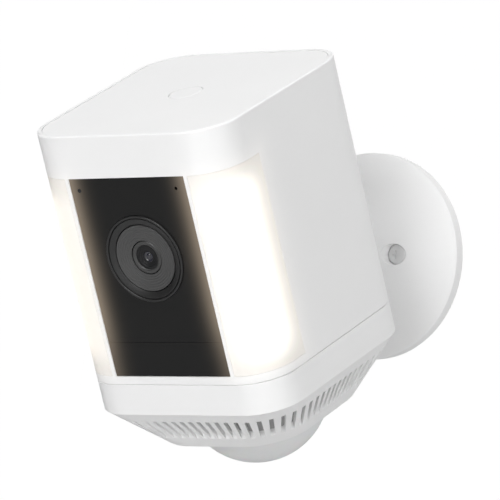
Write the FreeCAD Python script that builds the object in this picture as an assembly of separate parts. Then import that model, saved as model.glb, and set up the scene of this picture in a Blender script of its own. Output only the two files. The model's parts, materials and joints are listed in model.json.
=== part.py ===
import FreeCAD, Part
import math
import os

# Battery security camera with two light panels, on a ball-ended wall bracket.
# Millimetres.  Two frames are used:
#   mount frame - origin at the centre of the wall plate's back face, +Y into the wall, +Z up
#   head frame  - x across, y from the front face (0) to the rear face, z up from the black panel's centre
# Head parts are drawn upright in the head frame, then hung on the ball at the resting tilt.

V = FreeCAD.Vector

# ---------------------------------------------------------------- driving dimensions
WIDTH = 90.0
DEPTH = 95.1
TOP_Z = 56.6            # top face
SEAM_Z = -43.1          # parting line between the main housing and the lower cover
RIM_Z = -55.4           # where the straight sides end
FLOOR_Z = -74.6         # lower face of the tapered skirt
DOME_Z = -92.7          # lowest point of the sensor dome
FRONT_RADIUS = 17.0
REAR_RADIUS = 17.4
WALL = 2.2
GAP = 0.12              # moulding gap between neighbouring covers

SKIRT_SIDE_RUN = 13.3   # how far the skirt leans in at each side, the front and the rear
SKIRT_FRONT_RUN = 14.6
SKIRT_REAR_RUN = 15.3
SKIRT_RADIUS = 19.8
SLOT_COUNT = 70
SLOT_WIDTH = 1.9
SLOT_TOP = 0.22         # slot ends, as a part of the skirt's slope
SLOT_END = 0.73

PANEL_WIDTH = 53.4
PANEL_HEIGHT = 79.6
PANEL_SPLIT_Z = -26.0
PANEL_FRONT = 0.3
LIGHT_INNER_X = 28.4
LIGHT_REAR_Y = 24.2
LENS_Z = 7.6
LENS_RADIUS = 17.2
LENS_PROUD = 0.4
BUTTON_RADIUS = 6.6
LID_INSET = 1.9
LID_THICK = 2.5

DOME_RADIUS = 28.4
DOME_NECK = 26.4
DOME_WALL = 1.2

REST_TILT = 23.1        # the head looks down by this angle at rest, in degrees
BALL_STANDOFF = 59.1    # wall to ball centre
BALL_RADIUS = 11.0
BALL_Y = 89.6           # ball centre in the head frame
BALL_HEAD_Z = -23.8
NECK_RADIUS = 3.6
LINER_IN = 11.1
LINER_OUT = 12.6
CUP_RADIUS = 12.7

PLATE_RADIUS = 41.2
PLATE_EDGE = 4.7
CONE_SLOPE = 0.69
SCREW_CIRCLE = 20.7
SCREW_SEAT_Y = -13.7
SCREW_REACH = 24.0

BAY_FRONT = 44.5        # battery bay, outside
BAY_REAR = 73.5
BAY_HALF = 24.0
BAY_WALL = 1.6
BAY_TOP = 31.0
BULKHEAD_TOP = -38.1
BULKHEAD_LOW = -40.1
BATTERY_TOP = 26.0
BATTERY_LOW = -42.0
BATTERY_CLEAR = 0.35

NEAR = 0.01             # how close two values are to count as the same
PAST = 1.0              # how far a cutting tool runs past the face it cuts

parts = {}


# ---------------------------------------------------------------- shared shape functions
def block(x0, x1, y0, y1, z0, z1):
    return Part.makeBox(x1 - x0, y1 - y0, z1 - z0, V(x0, y0, z0))


def rod_y(radius, y0, y1, x=0.0, z=0.0):
    return Part.makeCylinder(radius, y1 - y0, V(x, y0, z), V(0, 1, 0))


def rod_z(radius, z0, z1, x=0.0, y=0.0):
    return Part.makeCylinder(radius, z1 - z0, V(x, y, z0), V(0, 0, 1))


def fused(first, *others):
    return first.fuse(list(others)).removeSplitter()


def turned_y(points, x=0.0, z=0.0):
    """A solid turned about a Y axis from (radius, y) points."""
    corners = [V(x + r, y, z) for r, y in points]
    face = Part.Face(Part.makePolygon(corners + corners[:1]))
    return face.revolve(V(x, 0, z), V(0, 1, 0), 360)


def turned_z(points, x=0.0, y=0.0):
    """A solid turned about a Z axis from (radius, z) points."""
    corners = [V(x + r, y, z) for r, z in points]
    face = Part.Face(Part.makePolygon(corners + corners[:1]))
    return face.revolve(V(x, y, 0), V(0, 0, 1), 360)


def outline(inset, z, slope=0.0):
    """The head's plan outline: four straight sides and four round corners."""
    half = WIDTH / 2 - SKIRT_SIDE_RUN * slope - inset
    front = SKIRT_FRONT_RUN * slope + inset
    rear = DEPTH - SKIRT_REAR_RUN * slope - inset
    r_front = FRONT_RADIUS + (SKIRT_RADIUS - FRONT_RADIUS) * slope - inset
    r_rear = REAR_RADIUS + (SKIRT_RADIUS - REAR_RADIUS) * slope - inset
    centres = [(half - r_front, front + r_front, r_front, -90),
               (half - r_rear, rear - r_rear, r_rear, 0),
               (-half + r_rear, rear - r_rear, r_rear, 90),
               (-half + r_front, front + r_front, r_front, 180)]
    edges = []
    arcs = []
    for x, y, radius, start in centres:
        ends = [math.radians(start + turn) for turn in (0, 45, 90)]
        arcs.append([V(x + radius * math.cos(a), y + radius * math.sin(a), z) for a in ends])
    for number, arc in enumerate(arcs):
        edges.append(Part.Arc(*arc).toShape())
        edges.append(Part.LineSegment(arc[2], arcs[(number + 1) % 4][0]).toShape())
    return Part.Wire(edges)


def prism(inset, z0, z1, slope=0.0):
    return Part.Face(outline(inset, z0, slope)).extrude(V(0, 0, z1 - z0))


def plan_prism(points, z0, z1):
    corners = [V(x, y, z0) for x, y in points]
    return Part.Face(Part.makePolygon(corners + corners[:1])).extrude(V(0, 0, z1 - z0))


def softened(shape, radius, wanted):
    """Rounds the edges that the test picks, and keeps the sharp shape if they can't be rounded."""
    edges = [edge for edge in shape.Edges if wanted(edge)]
    rounded = shape.makeFillet(radius, edges)
    return rounded if rounded.isValid() and rounded.Volume > 0 else shape


def at_height(z):
    """Picks the edges that lie at one height."""
    return lambda edge: abs(edge.BoundBox.ZMin - z) < NEAR and abs(edge.BoundBox.ZMax - z) < NEAR


def at_depth(y):
    """Picks the edges that lie at one depth."""
    return lambda edge: abs(edge.BoundBox.YMin - y) < NEAR and abs(edge.BoundBox.YMax - y) < NEAR


def upright(height):
    """Picks the edges that stand straight up over the whole of a height."""
    return lambda edge: abs(edge.BoundBox.ZLength - height) < NEAR


def outer_edge_at(z):
    """Picks the edges of the outline itself at one height, not those of openings inside it."""
    def wanted(edge):
        box = edge.BoundBox
        on_side = abs(box.XMax - WIDTH / 2) < NEAR or abs(box.XMin + WIDTH / 2) < NEAR
        on_end = abs(box.YMin) < NEAR or abs(box.YMax - DEPTH) < NEAR
        return at_height(z)(edge) and (on_side or on_end)
    return wanted


def mirrored(shape):
    return shape.mirror(V(0, 0, 0), V(1, 0, 0))


def head(name, *solids):
    """Hangs head parts on the ball at the resting tilt and keeps them for writing."""
    shape = solids[0] if len(solids) == 1 else Part.makeCompound(list(solids))
    shape = shape.copy()
    shape.translate(V(0, -BALL_Y, -BALL_HEAD_Z))
    shape.rotate(V(0, 0, 0), V(1, 0, 0), REST_TILT)
    shape.translate(V(0, -BALL_STANDOFF, 0))
    parts[name] = shape


def mount(name, *solids):
    parts[name] = solids[0] if len(solids) == 1 else Part.makeCompound(list(solids))


def cross_recess(x, z, y_face, deep, reach):
    """A cross drive cut into a screw head whose face looks along -Y."""
    slot = 0.8
    across = block(x - reach, x + reach, y_face - PAST, y_face + deep, z - slot / 2, z + slot / 2)
    down = block(x - slot / 2, x + slot / 2, y_face - PAST, y_face + deep, z - reach, z + reach)
    return fused(across, down)


def board_screw(x, z, y_head, y_end):
    """A small pan-head screw driven along +Y."""
    head_radius = 1.9
    head_high = 1.2
    drive_deep = 0.6
    drive_reach = 1.2
    cap = rod_y(head_radius, y_head, y_head + head_high, x, z)
    shank = rod_y(1.0, y_head + head_high, y_end, x, z)
    return fused(cap, shank).cut(cross_recess(x, z, y_head, drive_deep, drive_reach))


# ---------------------------------------------------------------- main housing and its lid
PORT_Z = 22.0           # power port on the rear
PORT_RADIUS = 5.0
SOCKET_RADIUS = 16.5    # round plate that closes the ball socket
MIDDLE_Y = DEPTH / 2    # the button and the dome are on this line
LEDGE_Z = TOP_Z - LID_THICK - 0.1       # the lid rests here
LEDGE_HIGH = 2.4
LEDGE_WIDE = 1.5
LID_FACE = TOP_Z - 0.05
BUTTON_BOARD_Z = TOP_Z - 11.0


def light_zone(clear=0.0):
    """The corner block that a light panel fills, on the +X side."""
    half_high = PANEL_HEIGHT / 2 - clear
    return block(LIGHT_INNER_X + clear, WIDTH, -PAST, LIGHT_REAR_Y - clear, -half_high, half_high)


def make_main_housing():
    low = SEAM_Z + GAP
    rim_round = 0.7
    half = PANEL_WIDTH / 2
    rear = (DEPTH - WALL - PAST, DEPTH + PAST)
    shell = prism(0, low, TOP_Z)
    shell = softened(shell, rim_round, at_height(TOP_Z))
    shell = shell.cut(prism(WALL, low - PAST, LEDGE_Z - LEDGE_HIGH))
    shell = shell.cut(prism(WALL + LEDGE_WIDE, LEDGE_Z - LEDGE_HIGH - PAST, LEDGE_Z + PAST))
    shell = shell.cut(prism(LID_INSET, LEDGE_Z, TOP_Z + PAST))
    shell = shell.cut(block(-half, half, -PAST, WALL + PAST, -PANEL_HEIGHT / 2, PANEL_HEIGHT / 2))
    shell = shell.cut(light_zone())
    shell = shell.cut(mirrored(light_zone()))
    shell = shell.cut(rod_y(SOCKET_RADIUS + 0.1, *rear, 0, BALL_HEAD_Z))
    shell = shell.cut(rod_y(PORT_RADIUS + 0.2, *rear, 0, PORT_Z))
    head("main_housing", shell)


def make_top_cover():
    lid = prism(LID_INSET + 0.15, TOP_Z - LID_THICK, LID_FACE)
    lid = softened(lid, 0.25, at_height(LID_FACE))
    posts = [rod_z(1.8, BUTTON_BOARD_Z, TOP_Z - LID_THICK, x, MIDDLE_Y) for x in (-11.0, 11.0)]
    lid = fused(lid, *posts)
    lid = lid.cut(rod_z(BUTTON_RADIUS + 0.15, BUTTON_BOARD_Z, TOP_Z + PAST, 0, MIDDLE_Y))
    head("top_cover", lid)


def make_lid_seal():
    """A square-section ring pressed between the ledge and the lid."""
    seal_high = 2.3
    seal_outside = WALL + LEDGE_WIDE + 0.1
    seal_inside = seal_outside + 1.4
    base = LEDGE_Z - seal_high
    ring = prism(seal_outside, base, LEDGE_Z)
    head("lid_seal", ring.cut(prism(seal_inside, base - PAST, LEDGE_Z + PAST)))


def make_setup_button():
    """The round button, with a flange under the lid and a stem down to its switch."""
    edge_break = 0.3
    flange_radius = BUTTON_RADIUS + 1.3
    flange_low = LEDGE_Z - 0.8
    stem = 1.6
    stem_low = TOP_Z - 6.6
    points = [(0, LID_FACE), (BUTTON_RADIUS - edge_break, LID_FACE), (BUTTON_RADIUS, LID_FACE - edge_break),
              (BUTTON_RADIUS, LEDGE_Z), (flange_radius, LEDGE_Z), (flange_radius, flange_low),
              (stem, flange_low), (stem, stem_low), (0, stem_low)]
    head("setup_button", turned_z(points, 0, MIDDLE_Y))


def make_button_switch():
    """The small board across the lid's two posts, and the switch on it."""
    board_thick = 1.6
    board = block(-14, 14, MIDDLE_Y - 7, MIDDLE_Y + 7, BUTTON_BOARD_Z - board_thick, BUTTON_BOARD_Z)
    head("button_board", board)
    half = 3.5
    switch_top = TOP_Z - 5.6
    well_low = TOP_Z - 8.2
    switch = block(-half, half, MIDDLE_Y - half, MIDDLE_Y + half, BUTTON_BOARD_Z, switch_top)
    head("setup_switch", switch.cut(rod_z(1.9, well_low, TOP_Z, 0, MIDDLE_Y)))


# ---------------------------------------------------------------- front panels and lens
PINHOLE_Z = 35.0        # microphone hole and light-sensor window, near the panel's upper corners
MICROPHONE_X = 21.9
PINHOLE_RADIUS = 0.7
LIGHT_SENSOR_X = -22.9
CHASSIS_FRONT = WALL + 0.2
CHASSIS_BACK = WALL + 2.2


def make_front_panels():
    half = PANEL_WIDTH / 2 - GAP
    high = PANEL_HEIGHT / 2 - GAP
    back = WALL - 0.05
    through = (-PAST, back + PAST)
    upper = block(-half, half, PANEL_FRONT, back, PANEL_SPLIT_Z + GAP / 2, high)
    upper = upper.cut(rod_y(LENS_RADIUS + 0.1, *through, 0, LENS_Z))
    upper = upper.cut(rod_y(PINHOLE_RADIUS, *through, MICROPHONE_X, PINHOLE_Z))
    upper = upper.cut(rod_y(0.85, *through, LIGHT_SENSOR_X, PINHOLE_Z))
    head("front_panel", upper)
    head("lower_front_panel", block(-half, half, PANEL_FRONT, back, -high, PANEL_SPLIT_Z - GAP / 2))


LENS_BORE = 16.0        # inside of the bezel
BAFFLE_LIP = 13.35      # outer edge of the dish
BAFFLE_BORE = 6.7
BAFFLE_DEEP = 2.0       # how deep the dish is at its bore
DISH_SLOPE = 0.24
GROOVE_PITCH = 0.5      # light-trap grooves
GROOVE_DEEP = 0.18
GROOVES_TO = 10.4
BARREL_RADIUS = 6.55
BARREL_BORE = 5.2
BARREL_BACK = 14.9
GLASS_RADIUS = 4.75     # clear opening in front of the first lens


def make_lens_bezel():
    front = -LENS_PROUD
    back = WALL + 0.9
    points = [(LENS_RADIUS - 0.25, front), (LENS_RADIUS, front + 0.3), (LENS_RADIUS, back),
              (LENS_BORE, back), (LENS_BORE, front + 0.25), (LENS_BORE + 0.3, front)]
    head("lens_bezel", turned_y(points, 0, LENS_Z))


def dish_depth(radius):
    return BAFFLE_DEEP - (radius - BAFFLE_BORE) * DISH_SLOPE


def make_lens_baffle():
    """A cone inside the bezel, a narrow moat, then a shallow dish with grooves that trap light."""
    outside = LENS_BORE - 0.05
    back = WALL + 0.9
    points = [(outside, 0.3 - LENS_PROUD), (outside, back), (BAFFLE_BORE, back), (BAFFLE_BORE, BAFFLE_DEEP)]
    radius = BAFFLE_BORE + 0.3
    while radius < GROOVES_TO:
        y = dish_depth(radius)
        floor = y + GROOVE_DEEP
        points += [(radius, y), (radius + GROOVE_PITCH * 0.3, floor), (radius + GROOVE_PITCH * 0.7, floor)]
        radius += GROOVE_PITCH
    moat = [(12.9, 0.52), (13.0, 0.9), (13.25, 0.9), (BAFFLE_LIP, 0.45)]
    points += [(radius, dish_depth(radius))] + moat
    head("lens_baffle", turned_y(points, 0, LENS_Z))


def make_lens_barrel():
    nose = 1.45
    seat = 3.3
    points = [(BARREL_RADIUS, nose + 0.3), (BARREL_RADIUS - 0.35, nose), (GLASS_RADIUS + 0.55, nose),
              (GLASS_RADIUS, nose + 0.65), (GLASS_RADIUS, seat), (BARREL_BORE, seat),
              (BARREL_BORE, BARREL_BACK), (BARREL_RADIUS, BARREL_BACK)]
    head("lens_barrel", turned_y(points, 0, LENS_Z))


def lens(radius, front, back, bulge):
    """A glass element with a domed front face."""
    arc_radius = (radius ** 2 + bulge ** 2) / (2 * bulge)
    body = rod_y(radius, front, back, 0, LENS_Z)
    ball = Part.makeSphere(arc_radius, V(0, front - bulge + arc_radius, LENS_Z))
    cap = ball.common(rod_y(radius, front - bulge - PAST, front, 0, LENS_Z))
    return fused(body, cap)


def make_lens_elements():
    head("front_lens", lens(4.7, 3.4, 4.6, 1.1))
    spacer = rod_y(BARREL_BORE - 0.05, 4.7, 6.4, 0, LENS_Z)
    head("lens_spacer", spacer.cut(rod_y(2.4, 4, 7, 0, LENS_Z)))
    head("inner_lenses", lens(4.2, 7.6, 8.6, 0.9), lens(3.8, 11.2, 13.0, 1.1))


MODULE_HALF = 12.0      # camera module, square about the lens axis
MODULE_FRONT = 4.6
MODULE_BACK = 22.0
FILTER_ROOM_Y = 15.2


def make_camera_module():
    """The lens holder, with a cross room for the sliding filter and a window for the sensor behind it."""
    low = LENS_Z - MODULE_HALF
    high = LENS_Z + MODULE_HALF
    filter_room = block(-9.5, 9.5, FILTER_ROOM_Y, FILTER_ROOM_Y + 3.0, LENS_Z - 6, LENS_Z + 6)
    sensor_room = block(-5, 5, FILTER_ROOM_Y + 2.8, MODULE_BACK + PAST, LENS_Z - 4.5, LENS_Z + 4.5)
    body = block(-MODULE_HALF, MODULE_HALF, MODULE_FRONT, MODULE_BACK, low, high)
    body = body.cut(rod_y(BARREL_RADIUS + 0.05, MODULE_FRONT - PAST, FILTER_ROOM_Y, 0, LENS_Z))
    head("camera_module_body", body.cut(filter_room).cut(sensor_room))
    filter_y = FILTER_ROOM_Y + 1.0
    head("ir_cut_filter", block(-9.0, 4.0, filter_y, filter_y + 1.0, LENS_Z - 5.5, LENS_Z + 5.5))
    head("sensor_board", block(-MODULE_HALF, MODULE_HALF, MODULE_BACK + 0.1, MODULE_BACK + 1.3, low, high))
    head("image_sensor", block(-4, 4, MODULE_BACK - 1.4, MODULE_BACK + 0.05, LENS_Z - 3.5, LENS_Z + 3.5))


def make_front_chassis():
    """The plate behind the black panel, with two ribs that hold the camera module."""
    through = (CHASSIS_FRONT - PAST, CHASSIS_BACK + PAST)
    mic_room = 2.0
    plate = block(-26.2, 26.2, CHASSIS_FRONT, CHASSIS_BACK, BULKHEAD_TOP + 0.2, PANEL_HEIGHT / 2 - 0.3)
    plate = plate.cut(rod_y(LENS_RADIUS + 0.1, *through, 0, LENS_Z))
    plate = plate.cut(rod_y(1.6, *through, LIGHT_SENSOR_X, PINHOLE_Z))
    plate = plate.cut(block(MICROPHONE_X - mic_room, MICROPHONE_X + mic_room, *through,
                            PINHOLE_Z - mic_room, PINHOLE_Z + mic_room))
    rib_x = MODULE_HALF + 1.3
    ribs = [block(x - 0.8, x + 0.8, CHASSIS_BACK, 20.0, LENS_Z - 14, LENS_Z + 14) for x in (-rib_x, rib_x)]
    plate = fused(plate, *ribs)
    for x in (-20.5, 20.5):
        plate = plate.cut(rod_y(1.0, *through, x, -32.0))
    head("front_chassis", plate)


def make_panel_sensors():
    half = 1.8
    microphone = block(MICROPHONE_X - half, MICROPHONE_X + half, WALL + 0.4, WALL + 1.6,
                       PINHOLE_Z - half, PINHOLE_Z + half)
    head("microphone", microphone)
    window = rod_y(0.8, PANEL_FRONT - 0.05, WALL + 0.55, LIGHT_SENSOR_X, PINHOLE_Z)
    sensor = rod_y(1.3, WALL + 0.65, WALL + 1.9, LIGHT_SENSOR_X, PINHOLE_Z)
    head("light_sensor", window, sensor)


# ---------------------------------------------------------------- light panels
def make_diffusers():
    half_high = PANEL_HEIGHT / 2 - GAP
    skin = prism(0.03, -half_high, half_high)
    skin = skin.cut(prism(WALL, -half_high - PAST, half_high + PAST))
    panel = skin.common(light_zone(GAP))
    head("right_light_diffuser", panel)
    head("left_light_diffuser", mirrored(panel))


TRAY_LOW = BULKHEAD_TOP + 0.3
TRAY_HIGH = 39.4
TRAY_INSIDE = [(28.4, 2.3), (28.4, 6.6), (38.2, 23.2), (46.0, 23.2)]     # plan of the reflecting walls
TRAY_OUTSIDE = [(46.0, 24.4), (37.5, 24.4), (27.2, 7.0), (27.2, 2.3)]    # plan of their backs
LED_COUNT = 8
LED_HALF = 1.75


def strip_on_slope(near, far, half_width, z0, z1):
    """A strip parallel to the tray's slanted wall, between two offsets in front of that wall."""
    start = V(*TRAY_INSIDE[1], 0)
    end = V(*TRAY_INSIDE[2], 0)
    along = (end - start).normalize()
    out = V(along.y, -along.x, 0)
    middle = (start + end) * 0.5
    corners = []
    for reach, offset in ((-half_width, near), (half_width, near), (half_width, far), (-half_width, far)):
        corner = middle + along * reach + out * offset
        corners.append((corner.x, corner.y))
    return plan_prism(corners, z0, z1)


def make_light_trays():
    floor_plan = TRAY_OUTSIDE[::-1] + [(46.0, 2.3)]
    floor_thick = 1.2
    tray = plan_prism(TRAY_INSIDE + TRAY_OUTSIDE, TRAY_LOW, TRAY_HIGH)
    for z0 in (TRAY_LOW, TRAY_HIGH - floor_thick):
        tray = fused(tray, plan_prism(floor_plan, z0, z0 + floor_thick))
    tray = tray.common(prism(WALL + 0.15, TRAY_LOW, TRAY_HIGH))
    head("light_trays", tray, mirrored(tray))


def make_leds():
    board = strip_on_slope(0.1, 1.1, 8.0, TRAY_LOW + 2.0, TRAY_HIGH - 2.0)
    head("led_boards", board, mirrored(board))
    end_room = 6.0
    pitch = (TRAY_HIGH - TRAY_LOW - 2 * end_room) / (LED_COUNT - 1)
    leds = []
    for number in range(LED_COUNT):
        z = TRAY_LOW + end_room + pitch * number
        leds.append(strip_on_slope(1.15, 1.95, LED_HALF, z - LED_HALF, z + LED_HALF))
    head("leds", *leds, *[mirrored(led) for led in leds])


# ---------------------------------------------------------------- bulkhead, battery bay and boards
def battery_box(clear, z0, z1):
    """The battery's own section, grown by a clearance."""
    half = BAY_HALF - BAY_WALL - BATTERY_CLEAR + clear
    front = BAY_FRONT + BAY_WALL + BATTERY_CLEAR - clear
    rear = BAY_REAR - BAY_WALL - BATTERY_CLEAR + clear
    return block(-half, half, front, rear, z0, z1)


BAY_MIDDLE = (BAY_FRONT + BAY_REAR) / 2
CONTACT_X = (-7.0, 0.0, 7.0)
BOARD_FRONT = 33.0
BOARD_BACK = 34.6
BOARD_SCREWS = [(x, z) for x in (-19.0, 19.0) for z in (-30.0, 24.0)]
SEAL_OUTSIDE = WALL + 0.1


def make_bulkhead():
    """The floor of the sealed part, open only for the battery; its seal sits under it."""
    cup_room = rod_y(15.8, BALL_Y - CUP_RADIUS - 5, DEPTH, 0, BALL_HEAD_Z)
    plate = prism(WALL + 0.25, BULKHEAD_LOW, BULKHEAD_TOP)
    plate = plate.cut(battery_box(BATTERY_CLEAR, BULKHEAD_LOW - PAST, BULKHEAD_TOP + PAST))
    head("bulkhead", plate.cut(cup_room))
    seal_low = SEAM_Z + 2.85
    seal_wide = 1.7
    ring = prism(SEAL_OUTSIDE, seal_low, BULKHEAD_LOW - 0.02)
    ring = ring.cut(prism(SEAL_OUTSIDE + seal_wide, seal_low - PAST, BULKHEAD_LOW + PAST))
    head("bulkhead_seal", ring)


def make_battery_bay():
    """A deep box open below; its roof is open for the contacts, and four bosses in front take the board."""
    roof = 1.5
    contact_hole = block(-12, 12, BAY_MIDDLE - 5, BAY_MIDDLE + 5, BAY_TOP - 2 * roof, BAY_TOP + PAST)
    bay = block(-BAY_HALF, BAY_HALF, BAY_FRONT, BAY_REAR, BULKHEAD_TOP, BAY_TOP)
    bay = bay.cut(battery_box(BATTERY_CLEAR, BULKHEAD_TOP - PAST, BAY_TOP - roof)).cut(contact_hole)
    bosses = [rod_y(2.6, BOARD_BACK + 0.1, BAY_FRONT + 0.5, x, z) for x, z in BOARD_SCREWS]
    bay = fused(bay, *bosses)
    for x, z in BOARD_SCREWS:
        bay = bay.cut(rod_y(1.0, BOARD_FRONT, 42, x, z))
    head("battery_bay", bay)


def make_battery_contacts():
    foot = BAY_TOP - 1.4
    holder = block(-11.8, 11.8, BAY_MIDDLE - 4.8, BAY_MIDDLE + 4.8, foot, BAY_TOP + 5)
    pins = [rod_z(0.9, BATTERY_TOP + 0.1, foot, x, BAY_MIDDLE) for x in CONTACT_X]
    head("battery_contacts", fused(holder, *pins))


def chip(x0, x1, high, z0, z1):
    """A package on the front of the main board."""
    face = BOARD_FRONT - 0.05
    return block(x0, x1, BOARD_FRONT - high, face, z0, z1)


def make_boards():
    board = block(-30, 30, BOARD_FRONT, BOARD_BACK, -36.0, 40.0)
    for x, z in BOARD_SCREWS:
        board = board.cut(rod_y(1.1, BOARD_FRONT - PAST, BOARD_BACK + PAST, x, z))
    head("main_board", board)
    chips = [chip(-8, 8, 2.4, 20, 34), chip(12, 26, 1.8, -8, 6), chip(-26, -12, 1.4, -10, 2),
             chip(-6, 6, 2.0, -30, -18), chip(9, 15, 3.4, -34, -26)]
    head("main_board_chips", *chips)
    head("radio_shield", block(-25, -9.5, BOARD_BACK + 0.05, BOARD_BACK + 2.4, 2, 20))
    head("wifi_antenna", block(-29, 29, 38.0, 38.6, 41.0, 47.0))
    screws = [board_screw(x, z, BOARD_FRONT - 1.2, 40.0) for x, z in BOARD_SCREWS]
    head("board_screws", *screws)


# ---------------------------------------------------------------- parts below the bulkhead
HANG_Z = BULKHEAD_LOW - 0.02    # what hangs under the bulkhead starts here
BRACKET_HALF = 13.0
BRACKET_FRONT = 30.5
BRACKET_REAR = 43.5
BRACKET_LOW = -70.0


def make_speaker():
    """A closed box under the bulkhead whose cone looks down, through the slots."""
    low = BULKHEAD_LOW - 13.0
    top = BULKHEAD_LOW - 0.05
    rim = 2.5
    half, front, rear = 20.0, 7.0, 28.0
    box = block(-half, half, front, rear, low, top)
    box = softened(box, 4.0, upright(top - low))
    box = box.cut(block(rim - half, half - rim, front + rim, rear - rim, low - PAST, low + 2.0))
    head("speaker_box", box)
    edge = rim + 0.5
    inside = (edge - half, half - edge, front + edge, rear - edge)
    cone = block(*inside, low + 1.2, low + 1.9)
    ball = Part.makeSphere(9.0, V(0, (front + rear) / 2, low + 8.8))
    dust_cap = ball.common(block(*inside, low - PAST, low + 1.5))
    head("speaker_cone", fused(cone, dust_cap))


def make_motion_sensor():
    """Two heat sensors that look down through the dome, on a board under a hanging bracket."""
    tower = block(-BRACKET_HALF, BRACKET_HALF, BRACKET_FRONT, BRACKET_FRONT + 1.5, BRACKET_LOW, HANG_Z)
    foot = block(-BRACKET_HALF, BRACKET_HALF, BRACKET_FRONT, BRACKET_REAR, BRACKET_LOW, BRACKET_LOW + 1.6)
    rib_x = BRACKET_HALF - 0.7
    ribs = [block(x - 0.7, x + 0.7, BRACKET_FRONT + 0.5, BRACKET_REAR, BRACKET_LOW + 1, HANG_Z)
            for x in (-rib_x, rib_x)]
    head("sensor_bracket", fused(tower, foot, *ribs))
    board_low = BRACKET_LOW - 1.7
    board = block(0.5 - BRACKET_HALF, BRACKET_HALF - 0.5, BRACKET_FRONT + 0.5, BRACKET_REAR - 0.1,
                  board_low, BRACKET_LOW - 0.1)
    head("sensor_board_lower", board)
    can_y = (BRACKET_FRONT + BRACKET_REAR) / 2 + 0.2
    cans = [rod_z(4.6, board_low - 4.1, board_low - 0.05, x, can_y) for x in (-6.2, 6.2)]
    head("motion_sensors", *cans)


# ---------------------------------------------------------------- lower cover
def skirt(inset, z0, slope0, z1, slope1):
    return Part.makeLoft([outline(inset, z0, slope0), outline(inset, z1, slope1)], True, True)


def slope_at(z):
    """How far down the skirt a height is, as a part of its slope."""
    return (RIM_Z - z) / (RIM_Z - FLOOR_Z)


def slot_cutters():
    """Radial slots about the dome's axis, between two lines that follow the skirt's outline."""
    low = FLOOR_Z - PAST
    high = RIM_Z + PAST
    band = prism(0, low, high, SLOT_TOP).cut(prism(0, low - PAST, high + PAST, SLOT_END))
    blades = []
    for number in range(SLOT_COUNT):
        blade = block(-SLOT_WIDTH / 2, SLOT_WIDTH / 2, -WIDTH, -DOME_NECK, low, high)
        blade.rotate(V(0, 0, 0), V(0, 0, 1), 360.0 * number / SLOT_COUNT)
        blade.translate(V(0, MIDDLE_Y, 0))
        blades.append(blade.common(band))
    return blades


COVER_TOP = SEAM_Z - GAP
COVER_BUTTON_Z = -49.4
COVER_BUTTON_RADIUS = 3.6
TONGUE_IN = WALL + 1.5  # inner face of the tongue that goes up inside the main housing


def make_lower_cover():
    """Straight sides, a slotted skirt and a flat floor with a hole for the dome."""
    skirt_wall = 2.7
    inner_floor = FLOOR_Z + WALL
    tongue_low = COVER_TOP - 4
    tongue_top = SEAM_Z + 2.6
    tongue_bore = prism(TONGUE_IN, tongue_low - PAST, tongue_top + PAST)
    body = fused(prism(0, RIM_Z, COVER_TOP), skirt(0, FLOOR_Z, 1.0, RIM_Z, 0.0))
    body = softened(body, 0.9, at_height(FLOOR_Z))
    body = softened(body, 0.3, outer_edge_at(COVER_TOP))
    body = body.cut(skirt(skirt_wall, inner_floor, slope_at(inner_floor), RIM_Z, 0.0))
    body = body.cut(prism(WALL, RIM_Z - 0.3, COVER_TOP + PAST))
    tongue = prism(WALL + 0.15, tongue_low, tongue_top).cut(tongue_bore)
    tie = prism(WALL - 0.4, tongue_low, COVER_TOP - 1).cut(tongue_bore)
    body = fused(body, tongue, tie)
    body = body.cut(rod_z(DOME_NECK + 0.1, FLOOR_Z - PAST, inner_floor + PAST, 0, MIDDLE_Y))
    body = body.cut(rod_y(COVER_BUTTON_RADIUS + 0.2, DEPTH - 6, DEPTH + PAST, 0, COVER_BUTTON_Z))
    head("lower_cover", body.cut(slot_cutters()))


def make_slot_mesh():
    """A fine dust mesh that lines the skirt behind its slots."""
    near_wall = 2.8
    mesh_thick = 0.5
    low = FLOOR_Z + 4.2
    high = RIM_Z - 1.5
    outer = skirt(near_wall, low, slope_at(low), high, slope_at(high))
    inner = skirt(near_wall + mesh_thick, low, slope_at(low), high, slope_at(high))
    head("slot_mesh", outer.cut(inner))


def dome_body(radius, neck, neck_top):
    """A ball's lower part that runs up into a straight neck."""
    ball = Part.makeSphere(radius, V(0, MIDDLE_Y, DOME_Z + DOME_RADIUS))
    cap = ball.common(rod_z(neck, DOME_Z - PAST, FLOOR_Z, 0, MIDDLE_Y))
    return fused(cap, rod_z(neck, FLOOR_Z, neck_top, 0, MIDDLE_Y))


def make_dome():
    flange_radius = 29.0
    flange_low = FLOOR_Z + WALL + 0.1
    flange_top = flange_low + 1.3
    outer = dome_body(DOME_RADIUS, DOME_NECK, flange_low)
    outer = fused(outer, rod_z(flange_radius, flange_low, flange_top, 0, MIDDLE_Y))
    inner = dome_body(DOME_RADIUS - DOME_WALL, DOME_NECK - DOME_WALL, flange_top + PAST)
    head("sensor_dome", outer.cut(inner))


def make_cover_button():
    """The button in the rear that frees the lower cover; its flange stays inside."""
    edge_break = 0.4
    face = DEPTH - 0.05
    flange_radius = COVER_BUTTON_RADIUS + 1.0
    flange = DEPTH - WALL - 1.55
    back = flange - 1.2
    points = [(0, face), (COVER_BUTTON_RADIUS - edge_break, face), (COVER_BUTTON_RADIUS, face - edge_break),
              (COVER_BUTTON_RADIUS, flange), (flange_radius, flange), (flange_radius, back), (0, back)]
    head("cover_release_button", turned_y(points, 0, COVER_BUTTON_Z))


# ---------------------------------------------------------------- battery
def bay_block(x0, x1, half_deep, z0, z1):
    """A block centred on the battery from front to rear."""
    return block(x0, x1, BAY_MIDDLE - half_deep, BAY_MIDDLE + half_deep, z0, z1)


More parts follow.
